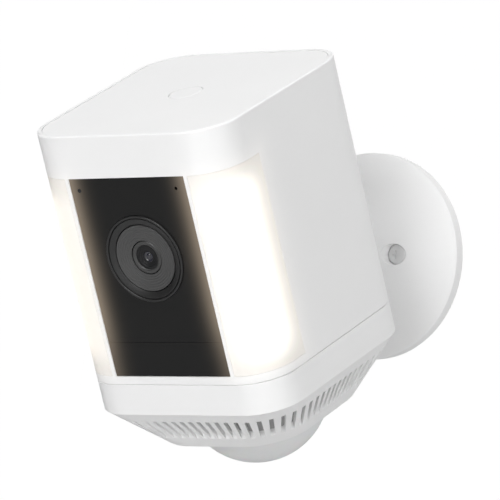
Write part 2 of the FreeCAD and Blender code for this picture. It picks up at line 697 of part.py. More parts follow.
def make_battery():
    """The pack, with three contact pads let into its top and a pocket for the release tab below."""
    pad_deep = 0.6
    corner = 2.0
    pack = battery_box(0, BATTERY_LOW, BATTERY_TOP)
    pack = softened(pack, corner, upright(BATTERY_TOP - BATTERY_LOW))
    for x in CONTACT_X:
        pack = pack.cut(bay_block(x - 2, x + 2, 3.0, BATTERY_TOP - pad_deep, BATTERY_TOP + PAST))
    pack = pack.cut(bay_block(-9, 9, 6.0, BATTERY_LOW - PAST, BATTERY_LOW + 4))
    head("battery_pack", pack)
    pads = [bay_block(x - 1.8, x + 1.8, 2.8, BATTERY_TOP - pad_deep, BATTERY_TOP - 0.1) for x in CONTACT_X]
    head("battery_pads", *pads)


def make_battery_tab():
    tab = bay_block(-8, 5.5, 5.4, BATTERY_LOW + 0.6, BATTERY_LOW + 3.4)
    grip = bay_block(-6, -3, 4.5, BATTERY_LOW - 1.6, BATTERY_LOW + 1.0)
    head("battery_release_tab", fused(tab, grip))


# ---------------------------------------------------------------- rear of the head: socket and power port
REAR_INSIDE = DEPTH - WALL
SOCKET_SCREW_CIRCLE = 14.1
SINK_Y = DEPTH - 1.1    # floor of the counterbores for the socket screws


def socket_screw_places():
    """The four screws about the ball's axis, at the corners of a square."""
    turns = [math.radians(45 + 90 * number) for number in range(4)]
    reach = SOCKET_SCREW_CIRCLE
    return [(reach * math.cos(turn), BALL_HEAD_Z + reach * math.sin(turn)) for turn in turns]


def make_socket():
    """The cup inside the head, and the ring that closes it from behind."""
    hollow = Part.makeSphere(CUP_RADIUS, V(0, BALL_Y, BALL_HEAD_Z))
    cup_wall = 2.2
    cup = rod_y(15.6, BALL_Y - CUP_RADIUS - cup_wall, REAR_INSIDE - 0.1, 0, BALL_HEAD_Z)
    ring = rod_y(SOCKET_RADIUS, REAR_INSIDE, DEPTH, 0, BALL_HEAD_Z)
    ring = softened(ring, 0.3, at_depth(DEPTH))
    for x, z in socket_screw_places():
        cup = cup.cut(rod_y(0.8, REAR_INSIDE - 9, REAR_INSIDE, x, z))
        ring = ring.cut(rod_y(0.9, REAR_INSIDE - PAST, DEPTH + PAST, x, z))
        ring = ring.cut(rod_y(1.6, SINK_Y, DEPTH + PAST, x, z))
    head("socket_cup", cup.cut(hollow))
    head("socket_ring", ring.cut(hollow))


def make_socket_screws():
    screws = []
    for x, z in socket_screw_places():
        cap = rod_y(1.5, SINK_Y, DEPTH - 0.1, x, z)
        shank = rod_y(0.8, REAR_INSIDE - 6.5, SINK_Y, x, z)
        drive = block(x - 1.0, x + 1.0, DEPTH - 0.5, DEPTH + PAST, z - 0.25, z + 0.25)
        screws.append(fused(cap, shank).cut(drive))
    head("socket_screws", *screws)


def make_power_jack():
    half = 6.5
    jack = block(-half, half, REAR_INSIDE - 12, REAR_INSIDE - 0.05, PORT_Z - half, PORT_Z + half)
    jack = jack.cut(rod_y(2.9, REAR_INSIDE - 9, DEPTH, 0, PORT_Z))
    pin = rod_y(0.9, REAR_INSIDE - 9.5, REAR_INSIDE - 2, 0, PORT_Z)
    head("power_jack", fused(jack, pin))


def make_port_cap():
    """A rubber cap whose hollow stem plugs the jack."""
    face = DEPTH - 0.1
    stem = rod_y(2.6, REAR_INSIDE - 1.6, REAR_INSIDE + 0.3, 0, PORT_Z)
    stem = stem.cut(rod_y(1.3, REAR_INSIDE - 1.6 - PAST, REAR_INSIDE, 0, PORT_Z))
    cap = rod_y(PORT_RADIUS, REAR_INSIDE + 0.05, face, 0, PORT_Z)
    cap = softened(cap, 0.3, at_depth(face))
    head("power_port_cap", fused(cap, stem))


# ---------------------------------------------------------------- wall bracket, in the mount frame
HUB_FRONT = -28.0
HUB_BACK = -9.0
JOURNAL = 5.0
THREAD_RADIUS = 4.0
NOSE_RADIUS = 10.6      # where the cone ends
CONE_WALL = 2.9
SCREW_HEAD = 3.7
SCREW_SHANK = 2.0


def cone_y(radius):
    """Where the bracket's cone is, at a radius."""
    return -PLATE_EDGE - CONE_SLOPE * (PLATE_RADIUS - radius)


def screw_places():
    return [(SCREW_CIRCLE, 0), (0, SCREW_CIRCLE), (-SCREW_CIRCLE, 0), (0, -SCREW_CIRCLE)]


def bracket_outside():
    """The bracket's outer form, solid: a round edge, the cone and a flat nose."""
    edge_round = 0.6
    cone_start = -PLATE_EDGE - 0.25
    points = [(0, 0), (PLATE_RADIUS, 0), (PLATE_RADIUS, -PLATE_EDGE + 0.4),
              (PLATE_RADIUS - edge_round, cone_start), (NOSE_RADIUS, cone_y(NOSE_RADIUS)),
              (NOSE_RADIUS - 2.2, HUB_FRONT), (0, HUB_FRONT)]
    return turned_y(points)


def make_mount_base():
    """A hollow cone with a hub for the arm and four bosses for the wall screws."""
    outside = bracket_outside()
    hub_radius = 9.5
    deep_radius = 13.5
    deep = cone_y(deep_radius) + CONE_WALL
    rim_inside = PLATE_RADIUS - 2.5
    hollow = turned_y([(hub_radius, PAST), (rim_inside, PAST), (rim_inside, -PLATE_EDGE + 1.6),
                       (deep_radius, deep), (hub_radius, deep)])
    nut_room = rod_y(12, HUB_BACK, PAST)
    bosses = [rod_y(6.0, HUB_FRONT, -0.6, x, z).common(outside) for x, z in screw_places()]
    base = fused(outside.cut(hollow).cut(nut_room), *bosses)
    for x, z in screw_places():
        base = base.cut(rod_y(SCREW_HEAD + 0.5, HUB_FRONT, SCREW_SEAT_Y, x, z))
        base = base.cut(rod_y(SCREW_SHANK + 0.2, SCREW_SEAT_Y - PAST, PAST, x, z))
    mount("mount_base", base.cut(rod_y(JOURNAL + 0.05, HUB_FRONT - PAST, PAST)))


def make_wall_gasket():
    """A flat foam ring that seals the bracket's rim to the wall."""
    outside = 38.5
    inside = 33.5
    thick = 2.4
    mount("wall_gasket", rod_y(outside, -thick, 0).cut(rod_y(inside, -thick - PAST, PAST)))


def make_mounting_screws():
    """Pan-head wall screws: thinner inside the bracket, full size from the wall's face to the tip."""
    head_high = 2.3
    face = SCREW_SEAT_Y - head_high
    neck = SCREW_SHANK - 0.2
    tip = SCREW_REACH - 4
    outline = [(0, face), (SCREW_HEAD - 0.8, face), (SCREW_HEAD, face + 0.7), (SCREW_HEAD, SCREW_SEAT_Y),
               (neck, SCREW_SEAT_Y), (neck, -0.2), (SCREW_SHANK, 0), (SCREW_SHANK, tip),
               (0.3, SCREW_REACH), (0, SCREW_REACH)]
    screws = [turned_y(outline, x, z).cut(cross_recess(x, z, face, 1.1, 2.0)) for x, z in screw_places()]
    mount("mounting_screws", *screws)


def make_ball_arm():
    """A turned arm: a threaded end for the nut, a journal in the hub, a collar, a neck and the ball."""
    end = -3.4
    collar = 7.0
    collar_back = HUB_FRONT - 0.05
    points = [(0, end), (THREAD_RADIUS - 0.3, end), (THREAD_RADIUS, end - 0.4), (THREAD_RADIUS, HUB_BACK),
              (JOURNAL, HUB_BACK), (JOURNAL, collar_back), (collar, collar_back),
              (collar, HUB_FRONT - 2.6), (collar - 0.8, HUB_FRONT - 3.4), (NECK_RADIUS + 1, HUB_FRONT - 5.6),
              (NECK_RADIUS, HUB_FRONT - 9.0), (NECK_RADIUS, -BALL_STANDOFF), (0, -BALL_STANDOFF)]
    ball = Part.makeSphere(BALL_RADIUS, V(0, -BALL_STANDOFF, 0))
    mount("ball_arm", fused(turned_y(points), ball))


def make_arm_nut():
    """The washer and nut that keep the arm in the hub."""
    washer = rod_y(8.0, HUB_BACK + 0.05, HUB_BACK + 0.85)
    mount("arm_washer", washer.cut(rod_y(THREAD_RADIUS + 0.1, HUB_BACK - PAST, 0)))
    across = 6.5
    nut_face = HUB_BACK + 0.9
    turns = [math.radians(60 * number) for number in range(6)]
    corners = [V(across * math.cos(turn), nut_face, across * math.sin(turn)) for turn in turns]
    nut = Part.Face(Part.makePolygon(corners + corners[:1])).extrude(V(0, 3.6, 0))
    mount("arm_nut", nut.cut(rod_y(THREAD_RADIUS + 0.02, HUB_BACK, 0)))


def make_socket_liner():
    """A split plastic shell round the ball, open behind for the arm's neck."""
    opening = 5.5
    centre = V(0, -BALL_STANDOFF, 0)
    shell = Part.makeSphere(LINER_OUT, centre).cut(Part.makeSphere(LINER_IN, centre))
    keep = rod_y(LINER_OUT + PAST, -BALL_STANDOFF - LINER_OUT - PAST, -BALL_STANDOFF + opening)
    mount("socket_liner", shell.common(keep))


# ---------------------------------------------------------------- build and write
make_main_housing()
make_top_cover()
make_lid_seal()
make_setup_button()
make_button_switch()
make_front_panels()
make_lens_bezel()
make_lens_baffle()
make_lens_barrel()
make_lens_elements()
make_camera_module()
make_front_chassis()
make_panel_sensors()
make_diffusers()
make_light_trays()
make_leds()
make_bulkhead()
make_battery_bay()
make_battery_contacts()
make_boards()
make_speaker()
make_motion_sensor()
make_lower_cover()
make_slot_mesh()
make_dome()
make_cover_button()
make_battery()
make_battery_tab()
make_socket()
make_socket_screws()
make_power_jack()
make_port_cap()
make_mount_base()
make_wall_gasket()
make_mounting_screws()
make_ball_arm()
make_arm_nut()
make_socket_liner()

os.makedirs("parts", exist_ok=True)
for name, shape in parts.items():
    if not shape.isValid():
        print("not valid:", name)
    shape.exportStep("parts/%s.step" % name)
print(len(parts), "nodes")
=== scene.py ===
import bpy
import json
import math
from mathutils import Matrix, Vector


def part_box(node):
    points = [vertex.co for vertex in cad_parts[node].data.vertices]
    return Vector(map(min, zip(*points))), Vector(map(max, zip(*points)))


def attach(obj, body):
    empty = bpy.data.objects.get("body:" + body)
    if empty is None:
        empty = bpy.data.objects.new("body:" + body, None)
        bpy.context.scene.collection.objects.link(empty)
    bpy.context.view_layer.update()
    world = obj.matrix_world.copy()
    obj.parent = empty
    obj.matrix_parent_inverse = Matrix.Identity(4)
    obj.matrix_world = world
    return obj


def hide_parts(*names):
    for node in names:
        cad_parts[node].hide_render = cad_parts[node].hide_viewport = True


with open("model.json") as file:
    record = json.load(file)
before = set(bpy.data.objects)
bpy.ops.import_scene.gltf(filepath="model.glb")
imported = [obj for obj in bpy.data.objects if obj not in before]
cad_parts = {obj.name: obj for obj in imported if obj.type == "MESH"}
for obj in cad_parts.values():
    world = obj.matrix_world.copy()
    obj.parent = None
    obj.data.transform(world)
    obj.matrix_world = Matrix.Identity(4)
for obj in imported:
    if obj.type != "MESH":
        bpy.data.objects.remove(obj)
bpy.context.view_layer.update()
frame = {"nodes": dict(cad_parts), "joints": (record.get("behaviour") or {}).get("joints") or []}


# ---- Camera and the head's own axes --------------------------------------------------------
# The head hangs tilted on its ball, so the cover's slide gives the way that is "down" for it.
# The camera stands well back with a long lens, to the right of the head's front and a little below it.
def joint_named(name):
    return [joint for joint in frame["joints"] if joint["name"] == name][0]


HEAD_UP = -Vector(joint_named("cover_slide")["axis"])
HEAD_BACK = Vector(joint_named("port_cap_pull")["axis"])
BALL = Vector(joint_named("head_tilt")["pos_m"])
REST_TILT = math.atan2(HEAD_BACK.z, HEAD_BACK.y)
BALL_IN_HEAD = Vector((0.0, 0.0896, -0.0238))   # behind the front face, and below the lens panel's centre


def from_head(x, y, z):
    """A place in the head's own upright axes, taken to where the head hangs."""
    place = Vector((x, y, z)) - BALL_IN_HEAD
    return BALL + Vector((place.x, 0, 0)) + HEAD_BACK * place.y + HEAD_UP * place.z


AZIMUTH = math.radians(35.67)
ELEVATION = math.radians(-2.08)
ROLL = math.radians(0.63)
FOCAL_MM = 320.8
SENSOR_MM = 36.0
EYE_RIGHT = 0.03758       # from the lens panel's centre to the camera, along its own right, up and back
EYE_UP = 0.01044
EYE_BACK = 1.6596
backward = Vector((math.sin(AZIMUTH) * math.cos(ELEVATION), -math.cos(AZIMUTH) * math.cos(ELEVATION),
                   math.sin(ELEVATION)))
level_right = Vector((math.cos(AZIMUTH), math.sin(AZIMUTH), 0))
level_up = backward.cross(level_right)
right = level_right * math.cos(ROLL) + level_up * math.sin(ROLL)
up = level_up * math.cos(ROLL) - level_right * math.sin(ROLL)
eye = from_head(0, 0, 0) + right * EYE_RIGHT + up * EYE_UP + backward * EYE_BACK
camera_data = bpy.data.cameras.new("studio_camera")
camera_data.lens = FOCAL_MM
camera_data.sensor_width = SENSOR_MM
camera_data.clip_end = 60.0
camera = bpy.data.objects.new("studio_camera", camera_data)
camera.matrix_world = Matrix((
    (right.x, up.x, backward.x, eye.x),
    (right.y, up.y, backward.y, eye.y),
    (right.z, up.z, backward.z, eye.z),
    (0, 0, 0, 1)))
bpy.context.scene.collection.objects.link(camera)
bpy.context.scene.camera = camera


# ---- White head shell ----------------------------------------------------------------------
# UV-stable polycarbonate blend, injection moulded in white with a fine spark-eroded satin, in a body,
# a clipped top cover and a lower cover. Beside the light panels a faint warm glow is painted into the body.
def linear(code):
    """An sRGB hex colour as linear red, green, blue and alpha."""
    channels = [int(code[i:i + 2], 16) / 255 for i in (1, 3, 5)]
    return [c / 12.92 if c <= 0.04045 else ((c + 0.055) / 1.055) ** 2.4 for c in channels] + [1.0]


def add(tree, kind, settings=None, links=None):
    """Adds a node, with its settings or unlinked sockets by name or number, and its linked sockets."""
    node = tree.nodes.new(kind)
    for name, value in (settings or {}).items():
        if isinstance(name, int) or name in node.inputs:
            node.inputs[name].default_value = value
        else:
            setattr(node, name, value)
    for name, source in (links or {}).items():
        tree.links.new(source, node.inputs[name])
    return node


def finish(name, colour, roughness, **sockets):
    """A material whose shader stands ready for its pattern: returns the material, its tree and shader."""
    material = bpy.data.materials.new(name)
    material.use_nodes = True
    tree = material.node_tree
    shader = tree.nodes["Principled BSDF"]
    shader.inputs["Base Color"].default_value = linear(colour)
    shader.inputs["Roughness"].default_value = roughness
    for socket, value in sockets.items():
        shader.inputs[socket.replace("_", " ")].default_value = value
    return material, tree, shader


def grained(tree, shader, place, roughness, grain_mm):
    """Makes a shader's gloss uneven with a fine grain, and returns the grain's height."""
    grain = add(tree, "ShaderNodeTexNoise", {"Scale": 1000 / grain_mm, "Detail": 3.0, "Roughness": 0.6},
                {"Vector": place})
    gloss = add(tree, "ShaderNodeMapRange", {"To Min": roughness - 0.05, "To Max": roughness + 0.05},
                {"Value": grain.outputs["Fac"]})
    tree.links.new(gloss.outputs["Result"], shader.inputs["Roughness"])
    return grain.outputs["Fac"]


def moulded(name, colour, darker, roughness, grain_mm, bump, **sockets):
    """A moulded plastic: a fine eroded grain in its height, and slight changes of tone and gloss."""
    material, tree, shader = finish(name, colour, roughness, **sockets)
    place = add(tree, "ShaderNodeTexCoord").outputs["Object"]
    grain = grained(tree, shader, place, roughness, grain_mm)
    flow = add(tree, "ShaderNodeTexNoise", {"Scale": 1000 / FLOW_MM, "Detail": 2.0}, {"Vector": place})
    tone = add(tree, "ShaderNodeMix", {"data_type": "RGBA", 6: linear(colour), 7: linear(darker)},
               {0: flow.outputs["Fac"]})
    height = add(tree, "ShaderNodeBump", {"Strength": bump, "Distance": 0.0001}, {"Height": grain})
    tree.links.new(tone.outputs[2], shader.inputs["Base Color"])
    tree.links.new(height.outputs["Normal"], shader.inputs["Normal"])
    return material, tree, shader


def dress(material, *nodes):
    """Gives CAD nodes their material."""
    for name in nodes:
        mesh = frame["nodes"][name].data
        mesh.materials.clear()
        mesh.materials.append(material)


def head_place(tree):
    """Object coordinates turned upright with the head: x across, y back from the front face, z up."""
    upright = Matrix.Rotation(-REST_TILT, 3, "X")
    shift = BALL_IN_HEAD - upright @ BALL
    place = add(tree, "ShaderNodeTexCoord").outputs["Object"]
    return add(tree, "ShaderNodeMapping", {"Location": shift, "Rotation": (-REST_TILT, 0, 0)},
               {"Vector": place}).outputs["Vector"]


FLOW_MM = 1000 / 28       # the slow change of tone that the melt's flow leaves in a moulded piece
SHELL_WHITE = ("#f4f4f4", "#f1f1f1", 0.56, 0.45, 0.10)   # colour, darker, roughness, grain in mm, bump
LIGHT_INNER = 0.0284      # the light panels start this far from the middle of the front,
LIGHT_REAR = 0.0242       # end this far back on the sides,
LIGHT_TOP = 0.0397        # and are twice this high
PAINTED_GLOW_EDGE = 0.10              # painted glow in the shell at a light panel's edge
PAINTED_GLOW_REACH = 0.0040      # and the distance in which it drops to a third

white_shell = moulded("satin moulded white polycarbonate", *SHELL_WHITE, IOR=1.58)[0]
dress(white_shell, "top_cover", "lower_cover", "setup_button", "cover_release_button", "socket_ring")

# Painted glow: the body's emission falls off with distance from the light panels' edges, standing in for
# their spill of light.
painted_glow_shell, tree, shader = moulded("white polycarbonate with painted glow", *SHELL_WHITE, IOR=1.58)
mirrored = add(tree, "ShaderNodeVectorMath", {"operation": "ABSOLUTE"}, {0: head_place(tree)})
past = add(tree, "ShaderNodeVectorMath",
           {"operation": "MULTIPLY_ADD", 1: (-1, 1, 1), 2: (LIGHT_INNER, -LIGHT_REAR, -LIGHT_TOP)},
           {0: mirrored.outputs["Vector"]})
clear = add(tree, "ShaderNodeVectorMath", {"operation": "MAXIMUM", 1: (0, 0, 0)},
            {0: past.outputs["Vector"]})
gap = add(tree, "ShaderNodeVectorMath", {"operation": "LENGTH"}, {0: clear.outputs["Vector"]})
fall = add(tree, "ShaderNodeMath", {"operation": "DIVIDE", 1: -PAINTED_GLOW_REACH}, {0: gap.outputs["Value"]})
share = add(tree, "ShaderNodeMath", {"operation": "EXPONENT"}, {0: fall.outputs["Value"]})
glow = add(tree, "ShaderNodeMath", {"operation": "MULTIPLY", 1: PAINTED_GLOW_EDGE}, {0: share.outputs["Value"]})
shader.inputs["Emission Color"].default_value = linear("#fff4e6")
tree.links.new(glow.outputs["Value"], shader.inputs["Emission Strength"])
dress(painted_glow_shell, "main_housing")


# ---- Black front panel ---------------------------------------------------------------------
# Smooth black ABS plate and the strip below it, clipped in a little back between the lights.
# A warm glow is painted into its face along its two edges beside the light panels, and is weaker near the
# bottom.
PANEL_HALF = 0.0267
GLOW = 0.235              # the painted warm glow at the very edge,
GLOW_REACH = 0.0042       # the distance in which it drops to a third,
GLOW_CURVE = 1.5          # and how much flatter than a plain decay it starts
GLOW_LOW = (-0.040, -0.012)   # it weakens between these heights,
GLOW_LEAST = 0.45         # to this share
FACE_DEPTH = (0.0005, 0.0007)   # only the face glows, not the walls of the small holes

# Painted glow: warm emission on the panel's face near its side edges, fading inward and towards the bottom.
panel_black, tree, shader = finish("smooth black ABS with painted glow", "#0a0a0a", 0.34, IOR=1.53,
                                   Specular_IOR_Level=0.28)
place = add(tree, "ShaderNodeSeparateXYZ", links={"Vector": head_place(tree)})
side = add(tree, "ShaderNodeMath", {"operation": "ABSOLUTE"}, {0: place.outputs["X"]})
inward = add(tree, "ShaderNodeMapRange",
             {"From Min": PANEL_HALF, "From Max": PANEL_HALF - GLOW_REACH, "clamp": False},
             {"Value": side.outputs["Value"]})
inward = add(tree, "ShaderNodeMath", {"operation": "MAXIMUM", 1: 0.0}, {0: inward.outputs["Result"]})
bent = add(tree, "ShaderNodeMath", {"operation": "POWER", 1: GLOW_CURVE}, {0: inward.outputs["Value"]})
minus = add(tree, "ShaderNodeMath", {"operation": "MULTIPLY", 1: -1.0}, {0: bent.outputs["Value"]})
share = add(tree, "ShaderNodeMath", {"operation": "EXPONENT"}, {0: minus.outputs["Value"]})
lower = add(tree, "ShaderNodeMapRange",
            {"interpolation_type": "SMOOTHSTEP", "From Min": GLOW_LOW[0], "From Max": GLOW_LOW[1],
             "To Min": GLOW_LEAST * GLOW, "To Max": GLOW}, {"Value": place.outputs["Z"]})
on_face = add(tree, "ShaderNodeMapRange", {"From Min": FACE_DEPTH[1], "From Max": FACE_DEPTH[0]},
              {"Value": place.outputs["Y"]})
face_glow = add(tree, "ShaderNodeMath", {"operation": "MULTIPLY"},
                {0: share.outputs["Value"], 1: on_face.outputs["Result"]})
glow = add(tree, "ShaderNodeMath", {"operation": "MULTIPLY"},
           {0: face_glow.outputs["Value"], 1: lower.outputs["Result"]})
shader.inputs["Emission Color"].default_value = linear("#ffe8cc")
tree.links.new(glow.outputs["Value"], shader.inputs["Emission Strength"])
grain = add(tree, "ShaderNodeTexNoise", {"Scale": 1600.0, "Detail": 2.0},
            {"Vector": add(tree, "ShaderNodeTexCoord").outputs["Object"]})
gloss = add(tree, "ShaderNodeMapRange", {"To Min": 0.30, "To Max": 0.38},
            {"Value": grain.outputs["Fac"]})
height = add(tree, "ShaderNodeBump", {"Strength": 0.05, "Distance": 0.0001},
             {"Height": grain.outputs["Fac"]})
tree.links.new(gloss.outputs["Result"], shader.inputs["Roughness"])
tree.links.new(height.outputs["Normal"], shader.inputs["Normal"])
dress(panel_black, "front_panel", "lower_front_panel")


# ---- Light panels --------------------------------------------------------------------------
# Opal polycarbonate, moulded round the corner and clipped in, lit from behind by warm-white LEDs.
# It is blown out to white in the middle and turns cream at its edges, where less light gets to it.
LIGHT_STRENGTH = 1.0
LIGHT_LEAST = 0.03
FADES = {"ends": 0.013, "bar": 0.024, "rear": 0.015}   # how far from each edge the light is at its full
EDGES = {"ends": 0.04, "bar": 0.15, "rear": 0.12}      # and what share of it is left at the edge

opal, tree, shader = finish("opal polycarbonate lit warm white", "#f7f4ef", 0.45, IOR=1.58)
place = add(tree, "ShaderNodeSeparateXYZ", links={"Vector": head_place(tree)})
across = add(tree, "ShaderNodeMath", {"operation": "ABSOLUTE"}, {0: place.outputs["X"]})
upward = add(tree, "ShaderNodeMath", {"operation": "ABSOLUTE"}, {0: place.outputs["Z"]})
ends = add(tree, "ShaderNodeMapRange",
           {"interpolation_type": "SMOOTHSTEP", "From Min": LIGHT_TOP,
            "From Max": LIGHT_TOP - FADES["ends"], "To Min": EDGES["ends"]},
           {"Value": upward.outputs["Value"]})
bar = add(tree, "ShaderNodeMapRange",
          {"interpolation_type": "SMOOTHSTEP", "From Min": LIGHT_INNER,
           "From Max": LIGHT_INNER + FADES["bar"], "To Min": EDGES["bar"]},
          {"Value": across.outputs["Value"]})
rear = add(tree, "ShaderNodeMapRange",
           {"interpolation_type": "SMOOTHSTEP", "From Min": LIGHT_REAR,
            "From Max": LIGHT_REAR - FADES["rear"], "To Min": EDGES["rear"]},
           {"Value": place.outputs["Y"]})
light = add(tree, "ShaderNodeMath", {"operation": "MULTIPLY"},
            {0: ends.outputs["Result"], 1: bar.outputs["Result"]})
light = add(tree, "ShaderNodeMath", {"operation": "MULTIPLY"},
            {0: light.outputs["Value"], 1: rear.outputs["Result"]})
strength = add(tree, "ShaderNodeMath", {"operation": "MULTIPLY_ADD", 1: LIGHT_STRENGTH, 2: LIGHT_LEAST},
               {0: light.outputs["Value"]})
tint = add(tree, "ShaderNodeMix", {"data_type": "RGBA", 6: linear("#fff0da"), 7: linear("#fffaf2")},
           {0: light.outputs["Value"]})
tree.links.new(tint.outputs[2], shader.inputs["Emission Color"])
tree.links.new(strength.outputs["Value"], shader.inputs["Emission Strength"])
dress(opal, "right_light_diffuser", "left_light_diffuser")


# ---- Lens ----------------------------------------------------------------------------------
# Turned rings of black polycarbonate, pressed in one after another: a bezel with a cone, a dish with
# fine light-trap grooves and the lens barrel with its stop, and a coated front glass behind the stop.
LENS_PLACE = from_head(0, 0, 0.0076)
LENS_SIDES = 128
MM = 0.001
POINT = 0.0005            # a radius in mm so small that it merges to one point


def turned(name, outline, sides):
    """A turned piece about Z: a ring extruded and sized along an outline of radius and depth in mm."""
    bpy.ops.object.select_all(action="DESELECT")
    radius, depth = outline[0]
    bpy.ops.mesh.primitive_circle_add(vertices=sides, radius=radius * MM, location=(0, 0, depth * MM))
    piece = bpy.context.object
    piece.name = name
    bpy.ops.object.mode_set(mode="EDIT")
    bpy.ops.mesh.select_all(action="SELECT")
    for next_radius, next_depth in outline[1:]:
        rise = (next_depth - depth) * MM
        bpy.ops.mesh.extrude_region_move(TRANSFORM_OT_translate={"value": (0, 0, rise)})
        ratio = next_radius / radius
        bpy.ops.transform.resize(value=(ratio, ratio, 1), center_override=(0, 0, next_depth * MM))
        radius, depth = next_radius, next_depth
    bpy.ops.mesh.select_all(action="SELECT")
    bpy.ops.mesh.remove_doubles(threshold=1e-6)
    bpy.ops.mesh.normals_make_consistent(inside=False)
    bpy.ops.object.mode_set(mode="OBJECT")
    return piece


def round_edges(piece, width_mm):
    """Breaks the sharp edges, and smooths the rest."""
    bevel = piece.modifiers.new("edge rounding", "BEVEL")
    bevel.width = width_mm * MM
    bevel.segments = 2
    bevel.limit_method = "ANGLE"
    bevel.angle_limit = math.radians(35)
    bpy.ops.object.modifier_apply(modifier=bevel.name)
    bpy.ops.object.shade_smooth_by_angle(angle=math.radians(35))


def settle(piece, across, inward, place):
    """Turns a piece made about Z so that Z points inward, puts it at its place and applies both."""
    side = inward.cross(across)
    turn = Matrix((across, side, inward)).transposed().to_4x4()
    piece.matrix_world = Matrix.Translation(place) @ turn @ piece.matrix_world
    bpy.ops.object.transform_apply(location=True, rotation=True, scale=True)


def lens_ring(name, outline, edge_mm, material, node):
    """One closed ring of the lens, on its axis."""
    ring = turned(name, outline, LENS_SIDES)
    round_edges(ring, edge_mm)
    settle(ring, Vector((1, 0, 0)), HEAD_BACK, LENS_PLACE)
    ring.data.materials.append(material)
    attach(ring, "camera_head")
    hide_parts(node)


bezel_black = moulded("moulded black polycarbonate bezel", "#232323", "#1d1d1d", 0.36, 0.30, 0.05,
                      IOR=1.58, Specular_IOR_Level=0.4)[0]
dish_black = moulded("turned grey-black polycarbonate dish", "#424242", "#3b3b3b", 0.40, 0.30, 0.05,
                     IOR=1.58)[0]
barrel_black = moulded("moulded grey-black lens barrel", "#3a3a3a", "#333333", 0.34, 0.25, 0.04,
                       IOR=1.58)[0]
stop_black = moulded("matt black lens stop", "#121214", "#0d0d0f", 0.45, 0.25, 0.04,
                     IOR=1.5, Specular_IOR_Level=0.35)[0]

BEZEL_BACK = 3.0
bezel_outline = [(17.2, BEZEL_BACK), (17.2, -0.1), (16.95, -0.4), (16.5, -0.4), (16.2, -0.2), (16.1, 0.6),
                 (15.9, 0.6), (15.8, -0.1), (15.5, 0.0), (13.5, 0.72), (13.35, 1.1), (13.35, BEZEL_BACK),
                 (17.2, BEZEL_BACK)]
lens_ring("lens_bezel_ring", bezel_outline, 0.06, bezel_black, "lens_bezel")

DISH_EDGE = (13.1, 0.55)
DISH_BORE = (6.75, 1.40)
GROOVE_FROM = 7.0
GROOVE_PITCH = 0.95
GROOVE_DEEP = 0.13
GROOVES = 6
slope = (DISH_BORE[1] - DISH_EDGE[1]) / (DISH_EDGE[0] - DISH_BORE[0])
dish_outline = [(DISH_EDGE[0], BEZEL_BACK), (DISH_EDGE[0], DISH_EDGE[1] + 0.15),
                (DISH_EDGE[0] - 0.1, DISH_EDGE[1])]
for number in reversed(range(GROOVES)):
    for shift, deep in ((0.9, 0), (0.5, GROOVE_DEEP), (0.1, 0)):
        radius = GROOVE_FROM + (number + shift) * GROOVE_PITCH
        dish_outline.append((radius, DISH_EDGE[1] + (DISH_EDGE[0] - radius) * slope + deep))
dish_outline += [DISH_BORE, (DISH_BORE[0], BEZEL_BACK), (DISH_EDGE[0], BEZEL_BACK)]
lens_ring("lens_dish", dish_outline, 0.02, dish_black, "lens_baffle")

BARREL_BACK = 14.9
barrel_outline = [(6.5, BARREL_BACK), (6.5, 1.75), (6.25, 1.5), (5.4, 1.45), (4.85, 1.75), (4.8, 3.25),
                  (5.2, 3.25), (5.2, BARREL_BACK), (6.5, BARREL_BACK)]
lens_ring("lens_barrel_ring", barrel_outline, 0.05, barrel_black, "lens_barrel")
stop_outline = [(4.78, 3.2), (4.78, 1.95), (3.85, 2.05), (3.75, 2.2), (3.05, 2.28), (2.95, 2.42), (2.1, 2.5),
                (2.0, 2.65), (2.0, 3.2), (4.78, 3.2)]
lens_ring("lens_stop", stop_outline, 0.03, stop_black, "lens_barrel")

glass, tree, shader = finish("coated lens glass with painted sheen", "#20202a", 0.03, IOR=1.52, Coat_Weight=1.0,
                             Coat_Roughness=0.02)
# Painted sheen: the glass's colour turns lighter and bluer where it is seen at a grazing angle, in place of
# the reflection off its face.
facing = add(tree, "ShaderNodeLayerWeight", {"Blend": 0.35})
painted_sheen = add(tree, "ShaderNodeMix", {"data_type": "RGBA", 6: linear("#0e0e14"), 7: linear("#34344a")},
              {0: facing.outputs["Facing"]})
tree.links.new(painted_sheen.outputs[2], shader.inputs["Base Color"])
dress(glass, "inner_lenses")

GLASS_RADIUS = 1.95
HOLLOW_RADIUS = 1.05      # a ring-shaped hollow runs round the small dome in the middle
HOLLOW_DEEP = 0.55
DOME_HIGH = 0.45
GLASS_FACE = 2.5
CURVE_STEPS = 6
quarter = [math.radians(90 * step / CURVE_STEPS) for step in range(1, CURVE_STEPS + 1)]
glass_outline = [(POINT, 4.6), (4.65, 4.6), (4.65, 3.35), (GLASS_RADIUS, 3.3), (GLASS_RADIUS, GLASS_FACE)]
for angle in quarter:
    radius = GLASS_RADIUS - (GLASS_RADIUS - HOLLOW_RADIUS) * (1 - math.cos(angle))
    glass_outline.append((radius, GLASS_FACE + HOLLOW_DEEP * math.sin(angle)))
for angle in quarter:
    radius = max(HOLLOW_RADIUS * math.cos(angle), POINT)
    glass_outline.append((radius, GLASS_FACE + HOLLOW_DEEP - DOME_HIGH * math.sin(angle)))
lens_ring("front_glass", glass_outline, 0.02, glass, "front_lens")


# ---- Sensor dome ---------------------------------------------------------------------------
# Translucent high-density polyethylene, moulded thin so that warmth passes to the sensors behind it.
# It snaps into the round hole of the lower cover, and looks milky and a little greyer than the shell.
dome_plastic = moulded("moulded white polyethylene", "#ececec", "#e8e8e8", 0.42, 0.6, 0.06, IOR=1.54,
                       Subsurface_Weight=0.15, Subsurface_Scale=0.002)[0]
dress(dome_plastic, "sensor_dome")


